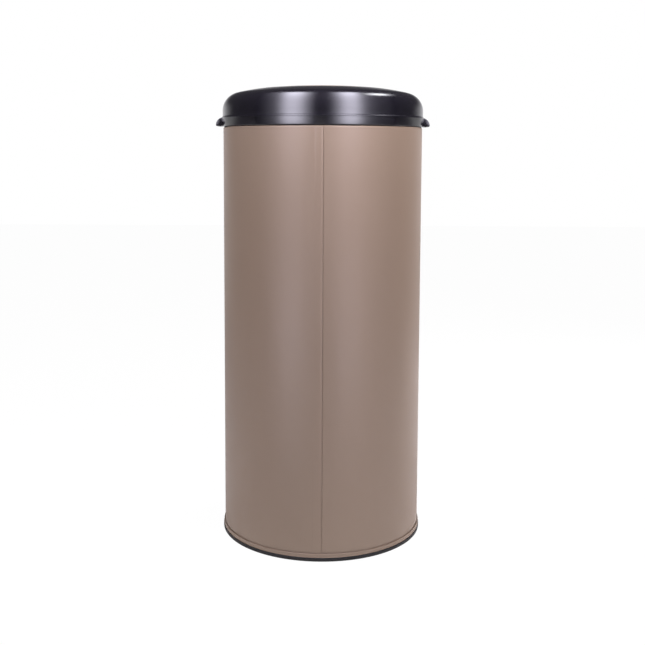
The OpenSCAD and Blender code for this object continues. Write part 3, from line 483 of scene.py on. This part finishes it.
# Base ring
# Black plastic ring pressed up inside the foot, so that steel never touches the floor. Short
# ribs cross the groove on its underside.
def repeated(name, part, places):
    """Copies of a part's mesh at places, each a spot in millimetres and a turn about X, Y and Z."""
    source = bpy.data.objects.new(name + "_part", part)
    bpy.context.collection.objects.link(source)
    spots = bpy.data.meshes.new(name + "_spots")
    spots.from_pydata([[c * mm for c in spot] for spot, angles in places], [], [])
    turn = spots.attributes.new("turn", "FLOAT_VECTOR", "POINT")
    turn.data.foreach_set("vector", [a for spot, angles in places for a in angles])
    tree = bpy.data.node_groups.new(name, "GeometryNodeTree")
    tree.interface.new_socket("Spots", in_out="INPUT", socket_type="NodeSocketGeometry")
    part_in = tree.interface.new_socket("Part", in_out="INPUT", socket_type="NodeSocketObject")
    tree.interface.new_socket("Copies", in_out="OUTPUT", socket_type="NodeSocketGeometry")
    given = tree.nodes.new("NodeGroupInput")
    info = tree.nodes.new("GeometryNodeObjectInfo")
    turns = tree.nodes.new("GeometryNodeInputNamedAttribute")
    turns.data_type = "FLOAT_VECTOR"
    turns.inputs["Name"].default_value = "turn"
    put = tree.nodes.new("GeometryNodeInstanceOnPoints")
    solid = tree.nodes.new("GeometryNodeRealizeInstances")
    paint = tree.nodes.new("GeometryNodeSetMaterial")
    result = tree.nodes.new("NodeGroupOutput")
    link(tree, given, "Spots", put, "Points")
    link(tree, given, "Part", info, "Object")
    link(tree, info, "Geometry", put, "Instance")
    link(tree, turns, "Attribute", put, "Rotation")
    link(tree, put, 0, solid, 0)
    link(tree, solid, 0, paint, "Geometry")
    link(tree, paint, 0, result, 0)
    holder = bpy.data.objects.new(name, spots)
    modifier = holder.modifiers.new(name, "NODES")
    modifier.node_group = tree
    modifier[part_in.identifier] = source
    mesh = baked(holder, name)
    bpy.data.objects.remove(source)
    return mesh


def extruded(name, side_view, half):
    """Plate drawn as (radius, height) in millimetres, of that half thickness, along the radius."""
    count = len(side_view)
    verts = [(r * mm, y * mm, z * mm) for y in (-half, half) for r, z in side_view]
    faces = [tuple(range(count)), tuple(range(2 * count - 1, count - 1, -1))]
    faces += [(k, (k + 1) % count, count + (k + 1) % count, count + k) for k in range(count)]
    mesh = bpy.data.meshes.new(name)
    mesh.from_pydata(verts, [], faces)
    bm = bmesh.new()
    bm.from_mesh(mesh)
    bmesh.ops.recalc_face_normals(bm, faces=bm.faces)
    bm.to_mesh(mesh)
    bm.free()
    return mesh


def joined(name, *meshes):
    bm = bmesh.new()
    for mesh in meshes:
        bm.from_mesh(mesh)
    whole = bpy.data.meshes.new(name)
    bm.to_mesh(whole)
    bm.free()
    return whole


def round_about(count, start=0.0):
    return [((0, 0, 0), (0, 0, 2 * math.pi * (i + start) / count)) for i in range(count)]


black_matt = skin("black_matt", srgb(22, 21, 24), 0.5, 0.9, 0.16, 900)
base_outline = (
    arc(151.7, 0.7, 0.7, -90, 0, 6)
    + arc(151.7, 4.5, 0.7, 0, 90, 6)
    + [(148.6, 5.2), (148.6, 11.2), (148.0, 11.8), (147.4, 11.8), (146.8, 11.2), (146.8, 0.4), (147.2, 0),
       (148.2, 0), (148.6, 0.4), (148.6, 3.2), (150.6, 3.2), (150.6, 0.4), (151.0, 0)]
)
rib = extruded("base_rib", [(148.3, 0.3), (150.9, 0.3), (150.9, 3.4), (148.3, 3.4)], 0.8)
new_piece("base_ring", joined("base_ring", turned("base_ring", base_outline),
                              repeated("base_ribs", rib, round_about(24))),
          "can", "base_ring", black_matt)

# Bag ring
# Black plastic hoop that hangs on the can's rim by its flange. The bag's edge is folded over
# the rim and held by the hoop.
bag_outline = (
    arc(143.0, 591.3, 0.8, -90, 0, 5)
    + [(143.4, 592.6), (143.4, 615.8)]
    + arc(144.4, 615.8, 1, 180, 90, 5)
    + [(148.3, 616.8), (148.6, 617.1), (148.6, 618.2), (148.2, 618.6)]
    + arc(142.8, 617.4, 1.2, 90, 180, 6)
    + [(141.6, 591.0), (142.0, 590.6)]
)
new_piece("bag_ring", turned("bag_ring", bag_outline), "bag_ring", "bag_ring", black_matt)


# Collar of the head
# One black gloss moulding: tapered band, small step, rounded shoulder and crown, turned down
# round the opening, with screw bosses underneath and a grip on each side.
def holder_of(name, mesh):
    return bpy.data.objects.new(name, mesh)


def cut(mesh, *cutters):
    """Mesh with the cutters' solids taken away."""
    name = mesh.name
    for cutter in cutters:
        tool = holder_of("cutter", cutter)
        bpy.context.collection.objects.link(tool)
        holder = holder_of(name, mesh)
        modifier = holder.modifiers.new("cut", "BOOLEAN")
        modifier.operation = "DIFFERENCE"
        modifier.solver = "EXACT"
        modifier.object = tool
        mesh = baked(holder, name)
        bpy.data.objects.remove(tool)
    return mesh


def rounded(mesh, width, steps=2, angle=35):
    """Mesh whose sharp edges are rounded over that width in millimetres."""
    holder = holder_of(mesh.name, mesh)
    modifier = holder.modifiers.new("round", "BEVEL")
    modifier.width = width * mm
    modifier.segments = steps
    modifier.limit_method = "ANGLE"
    modifier.angle_limit = math.radians(angle)
    modifier.use_clamp_overlap = True
    return baked(holder, mesh.name)


upright_r = 151.15
shoulder_r = 27.2
shoulder_at = (upright_r - shoulder_r, 640.6)
crown_r = 368
crown_at = (47.865, 308.402)
crown_slope = 12.9
crown_edge_r = shoulder_at[0] + shoulder_r * math.sin(math.radians(crown_slope))
band_r = 130
band_at = (25.23, 652.61)
band_foot = 617.3
wall = 2.2
lip_r = 96.5
lip_z = 672.957
lip_round = 1.6
ledge_z = lip_z - 6
ledge_under = lip_z - 8


def crown_angle(r, crown):
    return math.degrees(math.acos((r - crown_at[0]) / crown))


def under_skin(r):
    """Height of the collar's inner face over radius r."""
    if r > crown_edge_r:
        return shoulder_at[1] + math.sqrt((shoulder_r - wall) ** 2 - (r - shoulder_at[0]) ** 2)
    return crown_at[1] + math.sqrt(crown_r ** 2 - (r - crown_at[0]) ** 2) - wall


collar_outline = (
    [(150.2, band_foot)]
    + arc(*band_at, band_r, -15.6, -10.2, 24)[:-1]
    + arc(152.0, 629.8, 1.2, -10, 65, 10)
    + arc(151.45, 632.3, 0.3, 250, 180, 4)
    + arc(*shoulder_at, shoulder_r, 0, 90 - crown_slope, 40)
    + arc(*crown_at, crown_r, 90 - crown_slope, crown_angle(lip_r + lip_round, crown_r), 16)[1:]
    + arc(lip_r + lip_round, lip_z - lip_round, lip_round, 90, 180, 8)
    + [(lip_r, ledge_z), (lip_r + wall / 2, ledge_z), (lip_r + wall / 2, ledge_under),
       (lip_r + wall, ledge_under)]
    + arc(*crown_at, crown_r - wall, crown_angle(lip_r + wall, crown_r - wall), 90 - crown_slope, 8)
    + arc(*shoulder_at, shoulder_r - wall, 90 - crown_slope, 0, 24)[1:]
    + [(148.95, 633.0), (150.9, 630.2), (147.9, 622.4), (147.9, 620.9), (149.0, 620.9), (149.0, 617.6),
       (149.2, band_foot)]
)
collar_mesh = turned("collar", collar_outline, 360)

boss_r = 3.4
clear_of_head = 690


def boss_at(x, y, foot):
    """Round boss that runs up into the collar's skin."""
    outline = [(0, foot), (boss_r - 0.5, foot), (boss_r, foot + 0.5), (boss_r, clear_of_head),
               (boss_r / 2, clear_of_head), (0, clear_of_head)]
    mesh = turned("boss", outline, 24)
    mesh.transform(Matrix.Translation((x * mm, y * mm, 0)))
    for v in mesh.vertices:
        if v.co.z > (clear_of_head - 10) * mm:
            v.co.z = (under_skin(math.hypot(v.co.x, v.co.y) / mm) + wall / 2) * mm
    return mesh


bracket_screw_x = (-34, 0, 34)
bracket_screw_y = -138.0
bracket_boss_z = lip_z - 23.8
throat_screw_r = 102.7
throat_screws = [(throat_screw_r * math.cos(math.radians(a)), throat_screw_r * math.sin(math.radians(a)))
                 for a in (20, 160, 212, 328)]
bosses = [boss_at(x, bracket_screw_y, bracket_boss_z) for x in bracket_screw_x]
bosses += [boss_at(x, y, ledge_under) for x, y in throat_screws]

grip_outline = [(149.6, 618.0), (160.7, 618.0)] + arc(149.5, 619.2, 11.8, 0, 72, 18) + [(149.6, 630.0)]
scoop_outline = [(153.4, 617.0), (159.1, 617.0), (157.9, 621.6), (153.4, 621.6)]
grips = []
for side in (0, math.pi):
    grip_turns = tuple(math.radians(-8 + i) + side for i in range(17))
    scoop_turns = tuple(math.radians(-6.5 + i * 0.5) + side for i in range(27))
    grip = turned("grip", grip_outline, grip_turns)
    scoop = turned("scoop", scoop_outline, scoop_turns)
    grips.append(rounded(cut(grip, scoop), 0.5, 3, 40))
black_satin = skin("black_satin", srgb(20, 18, 26), 0.17, 0.95, 0.006, 500, ior=1.7)
new_piece("collar", joined("collar", collar_mesh, *bosses, *grips), "head", "collar",
          black_satin)

# Rim ring
# Black plastic channel welded up against the step inside the collar. It sits over the can's
# rim, drops a spigot inside the bag ring and carries short gussets.
rim_outline = [(139.2, 603.2), (139.5, 602.9), (140.4, 602.9), (141.2, 604.4), (141.2, 618.6), (141.5, 618.9),
               (148.6, 618.9), (148.9, 619.2), (148.9, 620.9), (139.5, 620.9), (139.2, 620.6)]
gusset = extruded("gusset", [(140.4, 620.5), (147.5, 620.5), (147.5, 629), (145.5, 629)], 0.8)
new_piece("rim_ring", joined("rim_ring", turned("rim_ring", rim_outline),
                             repeated("gussets", gusset, round_about(16, 0.5))),
          "head", "rim_ring", black_matt)


# Seat ring
# Black plastic ring with the ledge that the flap shuts on. It lies in a rebate under the
# collar's lip, and the latch hangs from its two bosses.
def softened(node, width, body, material, sharp=35):
    """Copy of a construction solid with its edges rounded a little."""
    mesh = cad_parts[node].data.copy()
    mesh.name = node
    bm = bmesh.new()
    bm.from_mesh(mesh)
    bmesh.ops.remove_doubles(bm, verts=bm.verts, dist=0.004 * mm)
    bmesh.ops.dissolve_limit(bm, angle_limit=math.radians(0.4), verts=bm.verts, edges=bm.edges)
    bmesh.ops.recalc_face_normals(bm, faces=bm.faces)
    bm.to_mesh(mesh)
    bm.free()
    new_piece(node + "_piece", rounded(mesh, width, 2, sharp), body, node, material, sharp)


softened("seat_ring", 0.3, "head", black_matt)

# Throat ring
# Black plastic funnel screwed up under the seat ring by four lobes. It guides what is dropped
# past the hinge and the latch, which stand in its two windows.
softened("throat_ring", 0.35, "head", black_matt)

# Hinge bracket
# Moulded plate with four ears for the hinge pin, screwed up to three bosses under the crown.
softened("hinge_bracket", 0.3, "head", black_matt)

# Hinge pin and clips
# Plated steel axle through the ears and the arms, kept in by a spring clip at each end.
zinc_steel = skin("zinc_steel", srgb(196, 198, 202), 0.3, 0.93, 0.02, 700, 1.0)
softened("hinge_pin", 0.3, "head", zinc_steel)
softened("pin_clips", 0.12, "head", zinc_steel)


# Opening springs
# Two torsion springs of round wire sit on the pin. One leg rests on the bracket's plate and
# the other lifts the cross bar between the arms.
def wire(name, runs, radius):
    """Round wire of that radius in millimetres, bent along one or more runs of points."""
    data = bpy.data.curves.new(name, "CURVE")
    data.dimensions = "3D"
    data.bevel_depth = radius * mm
    data.bevel_resolution = 3
    data.use_fill_caps = True
    for points in runs:
        run = data.splines.new("POLY")
        run.points.add(len(points) - 1)
        for spot, point in zip(run.points, points):
            spot.co = (*[c * mm for c in point], 1)
    holder = bpy.data.objects.new(name, data)
    return baked(holder, name)


hinge_y = -111.3
hinge_z = lip_z - 14.8
spring_r = 4.0
spring_wire = 0.65
spring_turns = 5.125
spring_pitch = 2.05
spring_start_x = 2.5
plate_y = -18.5
plate_gap = 0.3
bar_r = 2.4
bar_gap = 0.6
bar_angle = math.radians(-44)
bar_reach = 25.89


def spring_points(side):
    """One spring from its leg on the plate, round the pin and out to its leg under the cross bar."""
    x = spring_start_x
    leg_y = plate_y + spring_wire + plate_gap
    path = [(x, leg_y, spring_r), (x, leg_y / 2, spring_r)]
    steps = 180
    for i in range(steps + 1):
        done = spring_turns * i / steps
        a = math.pi / 2 - 2 * math.pi * done
        path.append((x + spring_pitch * done, spring_r * math.cos(a), spring_r * math.sin(a)))
    leg_angle = bar_angle - math.asin((bar_r + spring_wire + bar_gap) / bar_reach)
    tip = bar_reach + 2
    path.append((path[-1][0], tip * math.cos(leg_angle), tip * math.sin(leg_angle)))
    return [(side * x, hinge_y + y, hinge_z + z) for x, y, z in path]


new_piece("opening_springs", wire("opening_springs", [spring_points(1), spring_points(-1)], spring_wire),
          "head", "opening_springs", zinc_steel)

# Damper
# Rotary damper screwed to the right-hand outer ear. Its nylon pinion meshes with the sector
# gear on the arm, and oil inside slows the flap as it rises.
pale_nylon = skin("pale_nylon", srgb(224, 221, 208), 0.42, 0.97, 0.02, 500)
softened("damper_housing", 0.3, "head", black_matt)
softened("damper_pinion", 0.1, "damper_pinion", pale_nylon)

# Latch
# Push latch under the ledge at the front: a moulded housing, a nylon plunger that grips the
# flap's striker, and the light spring that lifts the plunger when it lets go.
softened("latch_housing", 0.4, "head", black_matt)
softened("latch_plunger", 0.15, "latch_plunger", pale_nylon)
latch_y = 90.25
coil_r = 4.5
coil_foot = ledge_under - 26.75
coil_high = 8.1
coil_steps = 120
latch_coils = []
for i in range(coil_steps + 1):
    a = math.radians(15 * i)
    latch_coils.append((coil_r * math.cos(a), latch_y + coil_r * math.sin(a),
                        coil_foot + coil_high * i / coil_steps))
new_piece("latch_spring", wire("latch_spring", [latch_coils], 0.4), "head", "latch_spring",
          zinc_steel)


# Screws of the head
# Plated pan-head screws with a cross recess. Nine hold the bracket, the latch and the throat
# ring under the head, and two hold the damper.
def block(name, low, high):
    """Box between two corners in millimetres."""
    bm = bmesh.new()
    bmesh.ops.create_cube(bm, size=1)
    for v in bm.verts:
        v.co = Vector([(low[k] + high[k]) / 2 + v.co[k] * (high[k] - low[k]) for k in range(3)]) * mm
    mesh = bpy.data.meshes.new(name)
    bm.to_mesh(mesh)
    bm.free()
    return mesh


def pan_screw(shank, length, head, thick):
    """Screw whose shank points up from the underside of its head."""
    flat = head * 0.6
    outline = [(0, length), (shank - 0.4, length), (shank, length - 0.6), (shank, 0), (head, 0)]
    outline += arc(head - thick * 0.75, -thick * 0.25, thick * 0.75, 0, -90, 6)
    outline += [(flat * 0.5, -thick), (0, -thick)]
    body = turned("pan_screw", outline, 40)
    slot = head * 0.17
    arms = [block("cross", (-flat, -slot, -thick - 1), (flat, slot, -thick * 0.45)),
            block("cross", (-slot, -flat, -thick - 1), (slot, flat, -thick * 0.45))]
    return cut(body, *arms)


# Each screw stands with its cross turned another way, as screws do
head_screw_places = [((x, bracket_screw_y, bracket_boss_z - 2.6), (0, 0, 0.4 * k))
                     for k, x in enumerate(bracket_screw_x)]
head_screw_places += [((x, latch_y, ledge_under - 9.6), (0, 0, 0.3 + k)) for k, x in enumerate((-13.5, 13.5))]
head_screw_places += [((x, y, ledge_under - 2), (0, 0, 0.7 * k)) for k, (x, y) in enumerate(throat_screws)]
new_piece("head_screws", repeated("head_screws", pan_screw(1.3, 7.0, 2.6, 1.8), head_screw_places),
          "head", "head_screws", zinc_steel)
damper_screw_x = 34.7
damper_screw_z = hinge_z - 19.3
damper_screw_places = [((damper_screw_x, hinge_y + u, damper_screw_z), (0, -math.pi / 2, 0))
                       for u in (-10, 10)]
new_piece("damper_screws", repeated("damper_screws", pan_screw(1.1, 4.5, 2.1, 1.4), damper_screw_places),
          "head", "damper_screws", zinc_steel)

# Flap disc
# Domed disc pressed from the same coated steel as the can, its edge turned down round the
# liner. Pressing on its front lets go of the latch.
disc_r = 95.3
disc_top = 677.949
disc_foot = lip_z - 1.8
disc_round = 0.8
dome_r = 950
dome_rows = (0, 10, 20, 30, 40, 50, 60, 70, 80, 88)


def dome(r, down=0.0):
    return disc_top - dome_r + math.sqrt((dome_r - down) ** 2 - r * r)


disc_outline = (
    [(r, dome(r)) for r in (*dome_rows, disc_r - disc_round)]
    + arc(disc_r - disc_round, dome(disc_r - disc_round) - disc_round, disc_round, 80, 0, 6)
    + [(disc_r, 671.3), (disc_r - 0.15, disc_foot), (disc_r - sheet, disc_foot)]
    + [(r, dome(r, sheet)) for r in (disc_r - sheet, *reversed(dome_rows))]
)
new_piece("flap_disc", turned("flap_disc", disc_outline, 360), "flap", "flap_disc", taupe_coat)

# Flap liner
# Black plastic underside of the flap, with a skirt that drops into the throat, radial ribs
# and a hub ring.
softened("flap_liner", 0.25, "flap", black_matt)

# Hinge arms
# Pair of goose-neck arms, moulded in one with the bar across them. They carry the flap clear
# over the edge of the opening and are screwed to the liner by their pads.
softened("hinge_arms", 0.3, "flap", black_matt)
pad_from_hinge = 25.03
flap_screw_places = [((x, hinge_y + pad_from_hinge, lip_z - 1.3), (math.pi, 0, 0)) for x in (-14, 14)]
new_piece("flap_screws", repeated("flap_screws", pan_screw(1.1, 3.8, 2.2, 0.8), flap_screw_places),
          "flap", "flap_screws", zinc_steel)

# Sector gear and striker
# Nylon sector on the right-hand arm's hub that turns the damper, and the headed nylon stud in
# the liner whose bulb the latch grips.
softened("sector_gear", 0.1, "flap", pale_nylon)
softened("striker", 0.12, "flap", pale_nylon)
